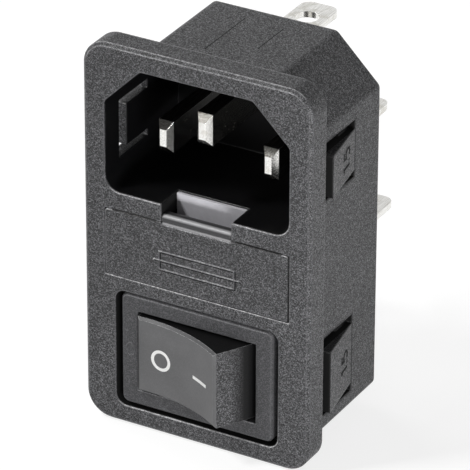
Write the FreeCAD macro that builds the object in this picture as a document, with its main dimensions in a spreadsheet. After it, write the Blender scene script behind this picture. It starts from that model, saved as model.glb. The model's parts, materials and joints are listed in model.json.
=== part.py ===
import FreeCAD, Part
import math
import os
import re
import Sketcher

# Snap-in power entry module: a three-pin inlet recess, a drawer with two fuses and a two-pole
# rocker switch in one moulded housing. X runs to the right, Y into the panel and Z up.
# The origin is the centre of the flange's back plane, where the panel's front face lies.

doc = FreeCAD.newDocument("power_entry_module")
sheet = doc.addObject("Spreadsheet::Sheet", "Sizes")
parts = []

sizes = {
    # flange and body
    "flangeWide": 30.3, "flangeHigh": 49.9, "flangeThick": 3.39, "flangeCorner": 3.2,
    "flangeEdge": 0.4, "bodyWide": 27.8, "bodyAbove": 23.61, "bodyBelow": 22.39,
    "bodyChamfer": 5.73, "bodyEdge": 1.0, "rearEdge": 0.4, "floorThick": 2.0, "sideWall": 1.5,
    "partition": 1.5, "fitGap": 0.02, "runGap": 0.1,
    # inlet recess and pins
    "recessWide": 24.6, "recessHigh": 16.4, "recessUp": 5.92, "recessChamfer": 4.88,
    "recessCorner": 2.0, "recessBlend": 0.8, "pinPitch": 14.0, "pinWide": 2.0, "pinHigh": 4.0,
    "linePinUp": 11.99, "earthPinUp": 16.0, "linePinTip": 1.1, "earthLead": 3.1, "pinPoint": 0.8,
    "pointWide": 0.85, "pointHigh": 2.2, "tailRadius": 0.9, "tailHead": 1.5, "headThick": 0.5,
    # flat connector tabs
    "tabWide": 4.8, "tabThick": 0.8, "tabReach": 11.35, "fuseTabMore": 0.8, "tabCorner": 1.3,
    "tabHole": 1.5, "tabHoleBack": 3.95, "switchTabHole": 0.65, "switchHoleBack": 3.4,
    "footReach": 1.8, "bendRadius": 0.4, "earthTabUp": 19.8, "lineTabUp": 9.3, "fuseTabLow": 0.14,
    # snap tongues
    "snapRear": 9.4, "snapInnerRear": 6.6, "snapTip": 1.75, "snapReach": 1.3, "snapShelf": 0.8,
    "upperWindowUp": 8.65, "upperWindowHigh": 7.43, "upperSnapUp": 9.53, "upperSnapHigh": 5.35,
    "lowerWindowDown": 20.05, "lowerWindowHigh": 10.4, "lowerSnapDown": 19.0,
    "lowerSnapHigh": 8.1,
    # fuse drawer
    "drawerHigh": 8.63, "drawerTop": 3.53, "drawerFace": 1.5, "drawerCorner": 0.4,
    "notchWide": 9.44, "notchDeep": 4.2, "pullHigh": 1.05, "pullThick": 1.7, "pullRound": 0.7,
    "pullGroove": 0.25, "trayWall": 1.0, "trayFloor": 0.6, "trayLong": 14.0, "trayHigh": 5.3,
    "trayShy": 0.1,
    # carrier inside the drawer
    "carrierSet": 0.2, "carrierWall": 0.8, "carrierFloor": 0.5, "carrierGap": 0.1,
    "carrierCore": 9.4, "tabSunk": 0.07, "frontTabThick": 0.4, "carrierLong": 11.8,
    "carrierEnd": 0.985, "endWallHigh": 3.4, "ribThick": 1.2, "ribHigh": 2.4, "ribIn": 0.6,
    "liveRib": 3.4,
    # cartridge fuses
    "fuseLong": 20.0, "fuseRadius": 2.6, "capLong": 5.2, "capWall": 0.25, "glassWall": 0.5,
    "wireRadius": 0.12, "fusePlay": 0.15, "fuseDivider": 0.8, "clipThick": 0.45, "clipWide": 4.0,
    "clipReach": 1.7, "clipGap": 0.04, "clipRoom": 0.84,
    # switch bay and frame
    "bayWide": 22.04, "bayHigh": 15.6, "bayDown": 6.91, "bayDeep": 1.9, "bayCorner": 1.4,
    "bezelWide": 20.5, "bezelHigh": 14.85, "bezelSunk": 0.1, "bezelThick": 1.75, "bezelCorner": 0.9,
    "bezelEdge": 0.25, "switchDown": 14.6, "switchWide": 18.8, "switchWall": 1.05,
    "switchEnd": 15.2, "switchFloor": 1.5, "windowWide": 16.0, "poleWall": 0.7, "poleWallTop": 5.0,
    "catchReach": 0.7, "catchLong": 3.0, "catchHigh": 5.0,
    # rocker
    "pivotDrop": 3.35, "rockerTilt": 15.0, "rockerSide": 0.35, "rockerChord": 12.8,
    "rockerCrown": 2.55, "dishRadius": 20.0, "skirtGap": 0.25, "skirtDrop": 1.6, "rockerShell": 1.0,
    "shoulderDrop": 1.8, "rockerEdge": 0.3, "pivotRadius": 1.2, "pivotReach": 1.3,
    "pivotPlay": 0.05,
    # poles of the switch
    "postRadius": 1.6, "postDrop": 4.2, "boreRadius": 1.1, "boreDepth": 6.6, "plungerRadius": 1.0,
    "plungerPoint": 0.4, "plungerTip": 7.0, "plungerLong": 6.0, "springRadius": 0.8,
    "springWire": 0.13, "springTurns": 2.5, "fulcrumDrop": 7.65, "contactWide": 2.8,
    "contactThick": 0.5, "contactArm": 5.6, "contactTail": 3.4, "contactSwing": 24.0, "stud": 0.95,
    "studInset": 1.05, "studThick": 0.4, "studBack": 0.6, "contactGap": 0.05, "earHigh": 1.1,
    "loadPitch": 7.0, "loadReach": 3.4, "switchTabEnd": 22.4, "switchTabCorner": 0.8,
}

for row, (alias, amount) in enumerate(sizes.items(), 1):
    sheet.set(f"A{row}", alias)
    sheet.set(f"B{row}", str(amount))
    sheet.setAlias(f"B{row}", alias)
doc.recompute()


def on_sheet(text):
    """Turn plain size names into references to the sheet."""
    return re.sub(r"\b([a-z]\w*)\b", lambda m: "Sizes." + m[1] if m[1] in sizes else m[1], text)


def number(text):
    return float(sheet.evalExpression(re.sub(r"Sizes\.", "", text)))


def bind(thing, prop, text):
    thing.setExpression(prop, on_sheet(str(text)))


# places worked out from the sizes, shared by the pieces that meet there
front = "(0 - flangeThick)"
recess_top = "(recessUp + recessHigh)"
drawer_low = "(drawerTop - drawerHigh)"
tray_top = f"({drawer_low} + trayFloor)"
cheek_inner = "(fuseLong / 2 + carrierGap)"
carrier_half = f"({cheek_inner} + carrierEnd)"
tray_half = f"({carrier_half} + carrierGap + trayWall)"
drawer_half = f"({tray_half} + trayShy)"
fuse_up = f"({tray_top} + carrierFloor + fusePlay + fuseRadius)"
spare_in = "(carrierSet + carrierWall + fusePlay + fuseRadius)"
live_in = f"({spare_in} + 2 * fuseRadius + fuseDivider)"
cap_middle = "(fuseLong / 2 - capLong / 2)"
grip = "(fuseRadius + clipGap)"
fuse_tab_up = f"({fuse_up} - {grip} - clipThick + fuseTabLow)"
recess_floor = f"({live_in} + fuseRadius + runGap + clipThick + clipRoom)"
body_deep = f"({recess_floor} + floorThick)"
tab_end = f"({body_deep} + tabReach)"
bay_low = "(0 - bayDown - bayHigh)"
window_half = "(poleWall / 2 + 2 * runGap + tabWide)"
pole = "(poleWall / 2 + runGap + tabWide / 2)"
switch_half = f"({window_half} + switchWall)"
switch_low = f"(0 - switchDown - {switch_half} - runGap)"
bezel_front = "(bezelSunk - flangeThick)"
bezel_back = f"({bezel_front} + bezelThick)"
pivot_in = f"({bezel_front} + pivotDrop)"
fulcrum_in = f"({pivot_in} + fulcrumDrop)"
skirt_radius = "(windowWide / 2 - skirtGap)"
tab_half = "(tabThick / 2)"


def make_body(label):
    body = doc.addObject("PartDesign::Body", label)
    body.Label = label
    parts.append(body)
    return body


def place(piece, x="0", y="0", z="0", turn=None):
    for axis, text in zip("xyz", (x, y, z)):
        bind(piece, f"Placement.Base.{axis}", text)
    if turn:
        piece.Placement.Rotation = FreeCAD.Rotation(FreeCAD.Vector(0, 0, 1), 1)
        bind(piece, "Placement.Rotation.Angle", turn)


def sketch_on(body, plane, at="0"):
    """A sketch on one of the body's own planes; 'at' is its place along X, Y or Z."""
    sketch = body.newObject("Sketcher::SketchObject", body.Name + "_sketch")
    support = [f for f in body.Origin.OriginFeatures if f.Role == plane + "_Plane"][0]
    sketch.AttachmentSupport = (support, [""])
    sketch.MapMode = "FlatFace"
    # the XZ plane's own normal points along -Y
    bind(sketch, "AttachmentOffset.Base.z", f"0 - ({at})" if plane == "XZ" else at)
    return sketch


def fix_point(sketch, edge, end, x, y):
    for kind, text in (("DistanceX", x), ("DistanceY", y)):
        index = sketch.addConstraint(Sketcher.Constraint(kind, -1, 1, edge, end, number(text)))
        bind(sketch, f"Constraints[{index}]", text)


def polygon(sketch, corners):
    points = [FreeCAD.Vector(number(x), number(y), 0) for x, y in corners]
    count = len(points)
    first = sketch.GeometryCount
    for i in range(count):
        sketch.addGeometry(Part.LineSegment(points[i], points[(i + 1) % count]), False)
    for i in range(count):
        after = first + (i + 1) % count
        sketch.addConstraint(Sketcher.Constraint("Coincident", first + i, 2, after, 1))
        fix_point(sketch, first + i, 1, *corners[i])
    return sketch


def rectangle(sketch, x0, y0, x1, y1):
    return polygon(sketch, [(x0, y0), (x1, y0), (x1, y1), (x0, y1)])


def circle(sketch, x, y, radius):
    centre = FreeCAD.Vector(number(x), number(y), 0)
    edge = sketch.addGeometry(Part.Circle(centre, FreeCAD.Vector(0, 0, 1), number(radius)), False)
    fix_point(sketch, edge, 3, x, y)
    index = sketch.addConstraint(Sketcher.Constraint("Radius", edge, number(radius)))
    bind(sketch, f"Constraints[{index}]", radius)
    return sketch


def feature(body, kind, sketch, length, middle=False, back=False):
    made = body.newObject("PartDesign::" + kind, body.Name + "_" + kind.lower())
    made.Profile = sketch
    made.Midplane = middle
    made.Reversed = back
    bind(made, "Length", length)
    return made


def pad(body, sketch, length, middle=False, back=False):
    return feature(body, "Pad", sketch, length, middle, back)


def pocket(body, sketch, length, middle=False, back=False):
    return feature(body, "Pocket", sketch, length, middle, back)


def dress(body, kind, amount, test):
    """Round or bevel the edges of the body that pass the test."""
    doc.recompute()
    base = body.Tip
    names = [f"Edge{i}" for i, edge in enumerate(base.Shape.Edges, 1) if test(edge)]
    made = body.newObject("PartDesign::" + kind, body.Name + "_" + kind.lower())
    made.Base = (base, names)
    bind(made, "Radius" if kind == "Fillet" else "Size", amount)
    return made


def runs(edge, axis):
    """True for a straight edge along one axis."""
    if edge.Curve.TypeId != "Part::GeomLine":
        return False
    step = edge.Vertexes[1].Point - edge.Vertexes[0].Point
    return abs(abs(step.normalize()[axis]) - 1) < 1e-6


def near(value, text):
    return abs(value - number(text)) < 1e-3


def corners_at(axis, *spots):
    """Edges along one axis that pass through one of the spots, each two coordinates."""
    others = [i for i in range(3) if i != axis]

    def test(edge):
        middle = edge.CenterOfMass
        here = [middle[i] for i in others]
        return runs(edge, axis) and any(
            near(abs(here[0]), a) and near(here[1], b) for a, b in spots)
    return test


# ---- housing: flange, shell, recess, drawer channel, switch bay and four snap tongues
def make_housing():
    body = make_body("housing")
    half, high = "flangeWide / 2", "flangeHigh / 2"
    pad(body, rectangle(sketch_on(body, "XZ"), f"0 - {half}", f"0 - {high}", half, high),
        "flangeThick")
    dress(body, "Fillet", "flangeCorner", lambda e: runs(e, 1))
    dress(body, "Chamfer", "flangeEdge", lambda e: near(e.CenterOfMass.y, front))

    side, top, low = "bodyWide / 2", "bodyAbove", "(0 - bodyBelow)"
    shoulder, slope = "(bodyWide / 2 - bodyChamfer)", "(bodyAbove - bodyChamfer)"
    outline = [(f"0 - {side}", low), (side, low), (side, slope), (shoulder, top),
               (f"0 - {shoulder}", top), (f"0 - {side}", slope)]
    pad(body, polygon(sketch_on(body, "XZ", body_deep), outline), f"{body_deep} + flangeThick / 2")
    dress(body, "Fillet", "bodyEdge",
          lambda e: runs(e, 1) and near(e.Vertexes[0].Point.y + e.Vertexes[1].Point.y, body_deep))
    dress(body, "Chamfer", "rearEdge", lambda e: near(e.CenterOfMass.y, body_deep))

    # the recess has two cut corners at the top, on the earth pin's side
    side = "recessWide / 2"
    shoulder, slope = "(recessWide / 2 - recessChamfer)", f"({recess_top} - recessChamfer)"
    outline = [(f"0 - {side}", "recessUp"), (side, "recessUp"), (side, slope),
               (shoulder, recess_top), (f"0 - {shoulder}", recess_top), (f"0 - {side}", slope)]
    pocket(body, polygon(sketch_on(body, "XZ", front), outline), f"flangeThick + {recess_floor}")
    dress(body, "Fillet", "recessCorner", corners_at(1, (side, "recessUp")))
    dress(body, "Fillet", "recessBlend", corners_at(1, (side, slope), (shoulder, recess_top)))

    # drawer channel, and the notch that its pull tab stands in
    side = f"{drawer_half} + runGap"
    channel = rectangle(sketch_on(body, "XZ", front), f"0 - ({side})", f"{drawer_low} - runGap",
                        side, "drawerTop + runGap")
    pocket(body, channel, f"flangeThick + {recess_floor}")
    notch = rectangle(sketch_on(body, "XZ", front), "0 - notchWide / 2", "drawerTop",
                      "notchWide / 2", "recessUp + recessCorner / 2")
    pocket(body, notch, "notchDeep")

    # switch bay in the flange, its hole, and the room behind it, open at the back
    bay = rectangle(sketch_on(body, "XZ", front), "0 - bayWide / 2", bay_low, "bayWide / 2",
                    "0 - bayDown")
    pocket(body, bay, "bayDeep")
    dress(body, "Fillet", "bayCorner", corners_at(
        1, ("bayWide / 2", bay_low), ("bayWide / 2", "0 - bayDown")))
    side = "switchWide / 2 + runGap"
    hole = rectangle(sketch_on(body, "XZ", front), f"0 - ({side})", switch_low, side,
                     f"{switch_half} + runGap - switchDown")
    pocket(body, hole, "flangeThick + runGap")
    side = "(bodyWide / 2 - sideWall)"
    room = rectangle(sketch_on(body, "XZ"), f"0 - {side}", switch_low, side,
                     f"{drawer_low} - runGap - partition")
    pocket(body, room, body_deep)

    # slots for the pins and for the tabs of the fuse contacts
    wide, high = "(pinWide / 2 + fitGap)", "(pinHigh / 2 + fitGap)"
    slots = sketch_on(body, "XZ", recess_floor)
    for x, z in (("0", "earthPinUp"), ("pinPitch / 2", "linePinUp"),
                 ("0 - pinPitch / 2", "linePinUp")):
        rectangle(slots, f"{x} - {wide}", f"{z} - {high}", f"{x} + {wide}", f"{z} + {high}")
    wide, high = "(tabWide / 2 + fitGap)", f"({tab_half} + fitGap)"
    for side in (cap_middle, f"0 - {cap_middle}"):
        rectangle(slots, f"{side} - {wide}", f"{fuse_tab_up} - {high}",
                  f"{side} + {wide}", f"{fuse_tab_up} + {high}")
    pocket(body, slots, "floorThick")

    # windows in both side walls, with a shelf outside behind each, then a sprung tongue in
    # each window: a piece of the wall, hinged at its rear end, with a wedge on its outside
    shelf = "2 * snapShelf"
    for at, deep, rear in (("0", "bodyWide", "snapInnerRear"), ("bodyWide / 2", shelf, "snapRear"),
                           ("0 - bodyWide / 2", shelf, "snapRear")):
        windows = sketch_on(body, "YZ", at)
        rectangle(windows, "0", "upperWindowUp", rear, "upperWindowUp + upperWindowHigh")
        rectangle(windows, "0", "0 - lowerWindowDown", rear, "lowerWindowHigh - lowerWindowDown")
        pocket(body, windows, deep, middle=True)
    tongues = []
    for low, high, inner in (("upperSnapUp", "upperSnapHigh", "(recessWide / 2)"),
                             ("0 - lowerSnapDown", "lowerSnapHigh", "(bodyWide / 2 - sideWall)")):
        side, reach = "(bodyWide / 2)", "(bodyWide / 2 + snapReach)"
        shape = [(side, "snapRear"), (reach, "snapTip"), (inner, "snapTip"), (inner, "snapRear")]
        tongues.append(pad(body, polygon(sketch_on(body, "XY", low), shape), high))
    mirror = body.newObject("PartDesign::Mirrored", "housing_mirror")
    mirror.Originals = tongues
    mirror.MirrorPlane = ([f for f in body.Origin.OriginFeatures if f.Role == "YZ_Plane"][0], [""])
    body.Tip = mirror
    place(body)
    return body


# ---- inlet pins, riveted through their tabs
def make_pin(label, x, z, tip):
    body = make_body(label)
    bar_start = f"({tip} + pinPoint)"
    bar = rectangle(sketch_on(body, "XZ", body_deep), "0 - pinWide / 2", "0 - pinHigh / 2",
                    "pinWide / 2", "pinHigh / 2")
    pad(body, bar, f"{body_deep} - {bar_start}")
    base = rectangle(sketch_on(body, "XZ", bar_start), "0 - pinWide / 2", "0 - pinHigh / 2",
                     "pinWide / 2", "pinHigh / 2")
    end = rectangle(sketch_on(body, "XZ", tip), "0 - pointWide / 2", "0 - pointHigh / 2",
                    "pointWide / 2", "pointHigh / 2")
    point = body.newObject("PartDesign::AdditiveLoft", label + "_point")
    point.Profile = base
    point.Sections = [end]
    back = f"{body_deep} + tabThick"
    pad(body, circle(sketch_on(body, "XZ", back), "0", "0", "tailRadius"), "tabThick")
    pad(body, circle(sketch_on(body, "XZ", f"{back} + headThick"), "0", "0", "tailHead"),
        "headThick")
    place(body, x=x, z=z)


# ---- flat tabs bent from strip: a foot against the housing's rear face and a blade behind it
def make_tab(label, x, pin_up, tab_up, side):
    body = make_body(label)
    out = f"{side}1 *"
    foot = f"(0 - ({out} footReach))"
    inner = f"({tab_up} - {pin_up} - ({out} {tab_half}))"
    outer = f"({tab_up} - {pin_up} + ({out} {tab_half}))"
    start, back = body_deep, f"{body_deep} + tabThick"
    shape = [(start, foot), (back, foot), (back, inner), (tab_end, inner), (tab_end, outer),
             (start, outer)]
    pad(body, polygon(sketch_on(body, "YZ"), shape), "tabWide", middle=True)
    dress(body, "Fillet", "bendRadius", lambda e: runs(e, 0) and near(
        e.CenterOfMass.y, back) and near(e.CenterOfMass.z, inner))
    dress(body, "Fillet", "bendRadius + tabThick / 2", lambda e: runs(e, 0) and near(
        e.CenterOfMass.y, start) and near(e.CenterOfMass.z, outer))
    dress(body, "Fillet", "tabCorner", lambda e: runs(e, 2) and near(e.CenterOfMass.y, tab_end))
    pocket(body, circle(sketch_on(body, "XZ", body_deep), "0", "0", "tailRadius + fitGap"),
           "tabThick")
    eye = circle(sketch_on(body, "XY", f"{tab_up} - {pin_up}"), "0", f"{tab_end} - tabHoleBack",
                 "tabHole")
    pocket(body, eye, "tabThick + fitGap", middle=True)
    place(body, x=x, z=pin_up)


# ---- fuse drawer: front, pull tab and open tray
def make_drawer():
    body = make_body("fuse_drawer")
    face = rectangle(sketch_on(body, "XZ", "drawerFace - flangeThick"), f"0 - {drawer_half}",
                     drawer_low, drawer_half, "drawerTop")
    pad(body, face, "drawerFace")
    dress(body, "Fillet", "drawerCorner", lambda e: runs(e, 1))
    half = "(notchWide / 2 - runGap)"
    pull = rectangle(sketch_on(body, "XZ", "pullThick - flangeThick"), f"0 - {half}",
                     "drawerTop - drawerCorner", half, "drawerTop + pullHigh")
    pad(body, pull, "pullThick")
    dress(body, "Fillet", "pullRound", lambda e: runs(e, 0) and near(
        e.CenterOfMass.z, "drawerTop + pullHigh"))
    groove = polygon(sketch_on(body, "YZ"), [
        (front, "drawerTop - pullGroove"), (f"{front} + pullGroove", "drawerTop"),
        (front, "drawerTop + pullGroove")])
    pocket(body, groove, f"2 * {half}", middle=True)
    tray_end = "(drawerFace - flangeThick + trayLong)"
    tray = rectangle(sketch_on(body, "XZ", tray_end), f"0 - {tray_half}", drawer_low, tray_half,
                     f"{drawer_low} + trayHigh")
    pad(body, tray, "trayLong")
    inside = rectangle(sketch_on(body, "XZ", "drawerFace - flangeThick"),
                       f"trayWall - {tray_half}", tray_top, f"{tray_half} - trayWall",
                       f"{tray_top} + trayHigh")
    pocket(body, inside, "trayLong")
    place(body)


# ---- light carrier that holds the working fuse at the back and the spare one in front
def make_carrier():
    body = make_body("fuse_carrier")
    middle = f"(({spare_in} + {live_in}) / 2)"
    core = "(carrierCore / 2)"
    end = "(carrierSet + carrierLong)"
    floor = sketch_on(body, "XY", tray_top)
    shape = [(f"0 - {carrier_half}", "carrierSet"), (carrier_half, "carrierSet"),
             (carrier_half, middle), (core, middle), (core, end), (f"0 - {core}", end),
             (f"0 - {core}", middle), (f"0 - {carrier_half}", middle)]
    pad(body, polygon(floor, shape), "carrierFloor")
    walls = sketch_on(body, "XY", tray_top)
    rectangle(walls, f"0 - {carrier_half}", "carrierSet", carrier_half, "carrierSet + carrierWall")
    pad(body, walls, "endWallHigh")
    wall = "(fuseDivider / 2 - runGap)"
    across = rectangle(sketch_on(body, "XY", tray_top), f"0 - {carrier_half}",
                       f"{middle} - {wall}", carrier_half, f"{middle} + {wall}")
    pad(body, across, "endWallHigh")
    for side in ("", "0 - "):
        cheek = rectangle(sketch_on(body, "XY", tray_top), f"{side}{carrier_half}", "carrierSet",
                          f"{side}{cheek_inner}", end)
        pad(body, cheek, "endWallHigh")
    spare_rib = f"({cap_middle} - ribIn + ribThick / 2)"
    for rib, start, stop in ((spare_rib, "carrierSet", middle), ("liveRib", middle, end)):
        for side in ("", "0 - "):
            slab = sketch_on(body, "YZ", f"{side}{rib} - ribThick / 2")
            rectangle(slab, start, tray_top, stop, f"{tray_top} + ribHigh")
            pad(body, slab, "ribThick")
    for rib, centre, radius in ((spare_rib, spare_in, grip), ("liveRib", live_in,
                                                              f"({grip} - capWall)")):
        cradle = circle(sketch_on(body, "YZ"), centre, fuse_up, radius)
        pocket(body, cradle, f"2 * {rib} + ribThick", middle=True)
    tab = rectangle(sketch_on(body, "XY", tray_top), "runGap - notchWide / 2", "carrierSet",
                    "notchWide / 2 - runGap", "carrierSet + frontTabThick")
    pad(body, tab, f"recessUp - tabSunk - {tray_top}")
    place(body)


# ---- cartridge fuse: glass tube, two pressed caps and the fuse wire
def along_x(kind, name, radius, length, start):
    rod = doc.addObject("Part::Cylinder", name)
    rod.Placement.Rotation = FreeCAD.Rotation(FreeCAD.Vector(0, 1, 0), 90)
    bind(rod, "Radius", radius)
    bind(rod, "Height", length)
    bind(rod, "Placement.Base.x", start)
    return rod


def make_fuse(prefix, centre):
    bore = "(fuseRadius - capWall)"
    glass_long = "(fuseLong - 2 * capWall - 2 * fitGap)"
    outer = along_x("glass", prefix + "_glass_out", f"{bore} - fitGap", glass_long,
                    f"0 - {glass_long} / 2")
    inner = along_x("glass", prefix + "_glass_in", f"{bore} - fitGap - glassWall",
                    f"{glass_long} + 2 * capWall", f"0 - fuseLong / 2")
    tube = doc.addObject("Part::Cut", prefix + "_glass_tube")
    tube.Base, tube.Tool = outer, inner
    pieces = [tube]
    for side in ("left", "right"):
        left = side == "left"
        begin = "0 - fuseLong / 2" if left else "fuseLong / 2 - capLong"
        bore_begin = "capWall - fuseLong / 2" if left else "fuseLong / 2 - capLong - capWall"
        can = along_x("cap", f"{prefix}_{side}_can", "fuseRadius", "capLong", begin)
        hollow = along_x("cap", f"{prefix}_{side}_bore", bore, "capLong", bore_begin)
        cap = doc.addObject("Part::Cut", f"{prefix}_{side}_cap")
        cap.Base, cap.Tool = can, hollow
        pieces.append(cap)
    wire = along_x("wire", prefix + "_wire", "wireRadius", glass_long, f"0 - {glass_long} / 2")
    pieces.append(wire)
    for piece in pieces:
        piece.Label = piece.Name
        if piece is wire:
            bind(piece, "Placement.Base.y", centre)
            bind(piece, "Placement.Base.z", fuse_up)
        else:
            place(piece, y=centre, z=fuse_up)
        parts.append(piece)


# ---- spring clip that grips a cap of the working fuse, in one strip with its rear tab
def make_fuse_contact(label, x):
    body = make_body(label)
    mouth = f"({live_in} - clipReach)"
    back = f"({live_in} + fuseRadius + runGap)"
    rear = f"({back} + clipThick)"
    outer = f"({grip} + clipThick)"
    shape = [(mouth, f"{fuse_up} - {outer}"), (rear, f"{fuse_up} - {outer}"),
             (rear, f"{fuse_up} + {outer}"), (mouth, f"{fuse_up} + {outer}"),
             (mouth, f"{fuse_up} + {grip}"), (back, f"{fuse_up} + {grip}"),
             (back, f"{fuse_up} - {grip}"), (mouth, f"{fuse_up} - {grip}")]
    pad(body, polygon(sketch_on(body, "YZ"), shape), "clipWide", middle=True)
    end = f"({tab_end} + fuseTabMore)"
    blade = rectangle(sketch_on(body, "YZ"), back, f"{fuse_tab_up} - {tab_half}", end,
                      f"{fuse_tab_up} + {tab_half}")
    pad(body, blade, "tabWide", middle=True)
    dress(body, "Fillet", "tabCorner", lambda e: runs(e, 2) and near(e.CenterOfMass.y, end))
    eye = circle(sketch_on(body, "XY", fuse_tab_up), "0", f"{end} - tabHoleBack", "tabHole")
    pocket(body, eye, "tabThick + fitGap", middle=True)
    place(body, x=x)


# ---- switch frame: bezel, hollow body, two pivot holes and side catches
def make_switch_frame():
    body = make_body("switch_frame")
    half, high = "bezelWide / 2", "bezelHigh / 2"
    pad(body, rectangle(sketch_on(body, "XZ", bezel_back), f"0 - {half}", f"0 - {high}", half,
                        high), "bezelThick")
    dress(body, "Fillet", "bezelCorner", lambda e: runs(e, 1))
    dress(body, "Chamfer", "bezelEdge", lambda e: near(e.CenterOfMass.y, bezel_front))
    half, high = "switchWide / 2", switch_half
    pad(body, rectangle(sketch_on(body, "XZ", "switchEnd"), f"0 - {half}", f"0 - {high}", half,
                        high), f"switchEnd - {bezel_back}")
    half, high = "windowWide / 2", window_half
    pocket(body, rectangle(sketch_on(body, "XZ", bezel_front), f"0 - {half}", f"0 - {high}",
                           half, high), f"switchEnd - switchFloor - {bezel_front}")
    wall = rectangle(sketch_on(body, "XZ", "switchEnd - switchFloor"), f"0 - {half}",
                     "0 - poleWall / 2", half, "poleWall / 2")
    pad(body, wall, "switchEnd - switchFloor - poleWallTop")
    pivot = circle(sketch_on(body, "XY"), "0", pivot_in, "pivotRadius + pivotPlay")
    pocket(body, pivot, "bezelHigh", middle=True)
    slots = sketch_on(body, "XZ", "switchEnd - switchFloor")
    thick, wide = "(tabThick / 2 + fitGap)", "(tabWide / 2 + fitGap)"
    for x in ("0", "0 - loadPitch"):
        for z in (pole, f"0 - {pole}"):
            rectangle(slots, f"{x} - {thick}", f"{z} - {wide}", f"{x} + {thick}", f"{z} + {wide}")
    pocket(body, slots, "switchFloor")
    side = "(switchWide / 2)"
    for sign in ("", "0 - "):
        shape = [(f"{sign}{side}", "fitGap"), (f"{sign}({side} + catchReach)", "fitGap"),
                 (f"{sign}{side}", "fitGap + catchLong")]
        pad(body, polygon(sketch_on(body, "XY"), shape), "catchHigh", middle=True)
    place(body, z="0 - switchDown")


# ---- rocker: dished face, end faces tangent to a skirt round the pivot, hollow, with two posts
def rocker_outline(body, end_y):
    sketch = sketch_on(body, "XY")
    x, y, dish = number("rockerChord / 2"), number(end_y), number("dishRadius")
    radius, drop = number(skirt_radius), number("skirtDrop")
    turn = math.atan2(y, x) + math.acos(radius / math.hypot(x, y))
    sink = math.asin(drop / radius)

    def point(px, py):
        return FreeCAD.Vector(px, py, 0)

    def ring(py, size):
        return Part.Circle(point(0, py), FreeCAD.Vector(0, 0, 1), size)

    def on_skirt(angle):
        return point(radius * math.cos(angle), radius * math.sin(angle))

    # the dished face is an arc whose centre lies far in front
    half_angle = math.asin(x / dish)
    face = Part.ArcOfCircle(ring(y - dish * math.cos(half_angle), dish),
                            math.pi / 2 - half_angle, math.pi / 2 + half_angle)
    skirt, meet, low = ring(0, radius), on_skirt(turn), on_skirt(sink)
    left_low, left_meet = on_skirt(math.pi - sink), on_skirt(math.pi - turn)
    for edge in (face, Part.LineSegment(point(x, y), meet), Part.ArcOfCircle(skirt, turn, sink),
                 Part.LineSegment(low, left_low),
                 Part.ArcOfCircle(skirt, math.pi - sink, math.pi - turn),
                 Part.LineSegment(left_meet, point(-x, y))):
        sketch.addGeometry(edge, False)
    for one, end, two, start in ((0, 1, 1, 1), (2, 2, 3, 1), (3, 2, 4, 1), (5, 2, 0, 2)):
        sketch.addConstraint(Sketcher.Constraint("Coincident", one, end, two, start))
    for one, two in ((1, 2), (4, 5)):
        sketch.addConstraint(Sketcher.Constraint("Tangent", one, 2, two, 1))
    index = sketch.addConstraint(Sketcher.Constraint("Radius", 0, dish))
    bind(sketch, f"Constraints[{index}]", "dishRadius")
    for arc in (2, 4):
        sketch.addConstraint(Sketcher.Constraint("Coincident", arc, 3, -1, 1))
        index = sketch.addConstraint(Sketcher.Constraint("Radius", arc, radius))
        bind(sketch, f"Constraints[{index}]", skirt_radius)
        index = sketch.addConstraint(
            Sketcher.Constraint("DistanceY", -1, 1, arc, 2 if arc == 2 else 1, drop))
        bind(sketch, f"Constraints[{index}]", "skirtDrop")
    fix_point(sketch, 1, 1, "rockerChord / 2", end_y)
    fix_point(sketch, 5, 2, "0 - rockerChord / 2", end_y)
    return sketch


def make_rocker():
    body = make_body("rocker")
    end_y = "(0 - rockerCrown - pivotDrop)"
    dish_y = f"({end_y} + dishRadius - sqrt(dishRadius ^ 2 - rockerChord ^ 2 / 4))"
    half_high = f"({window_half} - rockerSide)"
    pad(body, rocker_outline(body, end_y), f"2 * {half_high}", middle=True)
    dress(body, "Chamfer", "rockerEdge", lambda e: e.CenterOfMass.y < number(
        f"{end_y} + shoulderDrop") and (not runs(e, 2) or near(e.CenterOfMass.y, end_y)))

    side, shoulder = f"({skirt_radius} - rockerShell)", "(rockerChord / 2 - rockerShell)"
    roof_y, bend_y = f"({dish_y} + rockerShell)", f"({end_y} + shoulderDrop)"
    inside = [(side, "2 * skirtDrop"), (side, "0"), (shoulder, bend_y), ("0", roof_y),
              (f"0 - {shoulder}", bend_y), (f"0 - {side}", "0"), (f"0 - {side}", "2 * skirtDrop")]
    pocket(body, polygon(sketch_on(body, "XY"), inside), f"2 * ({half_high} - rockerShell)",
           middle=True)
    for z in (pole, f"0 - {pole}"):
        post = circle(sketch_on(body, "XZ", "postDrop"), "0", z, "postRadius")
        pad(body, post, f"postDrop - {dish_y} - rockerShell / 2")
    for start in (f"{half_high} - rockerShell", f"0 - {half_high} - pivotReach"):
        stub = circle(sketch_on(body, "XY", start), "0", "0", "pivotRadius")
        pad(body, stub, "rockerShell + pivotReach")
    bores = sketch_on(body, "XZ", "postDrop")
    for z in (pole, f"0 - {pole}"):
        circle(bores, "0", z, "boreRadius")
    pocket(body, bores, "boreDepth", back=True)
    place(body, y=pivot_in, z="0 - switchDown", turn="0 - rockerTilt")


# ---- one pole of the switch: sprung plunger, see-saw contact and two terminals
def make_plunger(label, z):
    body = make_body(label)
    pad(body, circle(sketch_on(body, "XZ", "plungerTip"), "0", "0", "plungerRadius"),
        "plungerLong")
    dress(body, "Chamfer", "plungerPoint", lambda e: near(e.CenterOfMass.y, "plungerTip"))
    place(body, y=pivot_in, z=z, turn="0 - rockerTilt")


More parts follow.
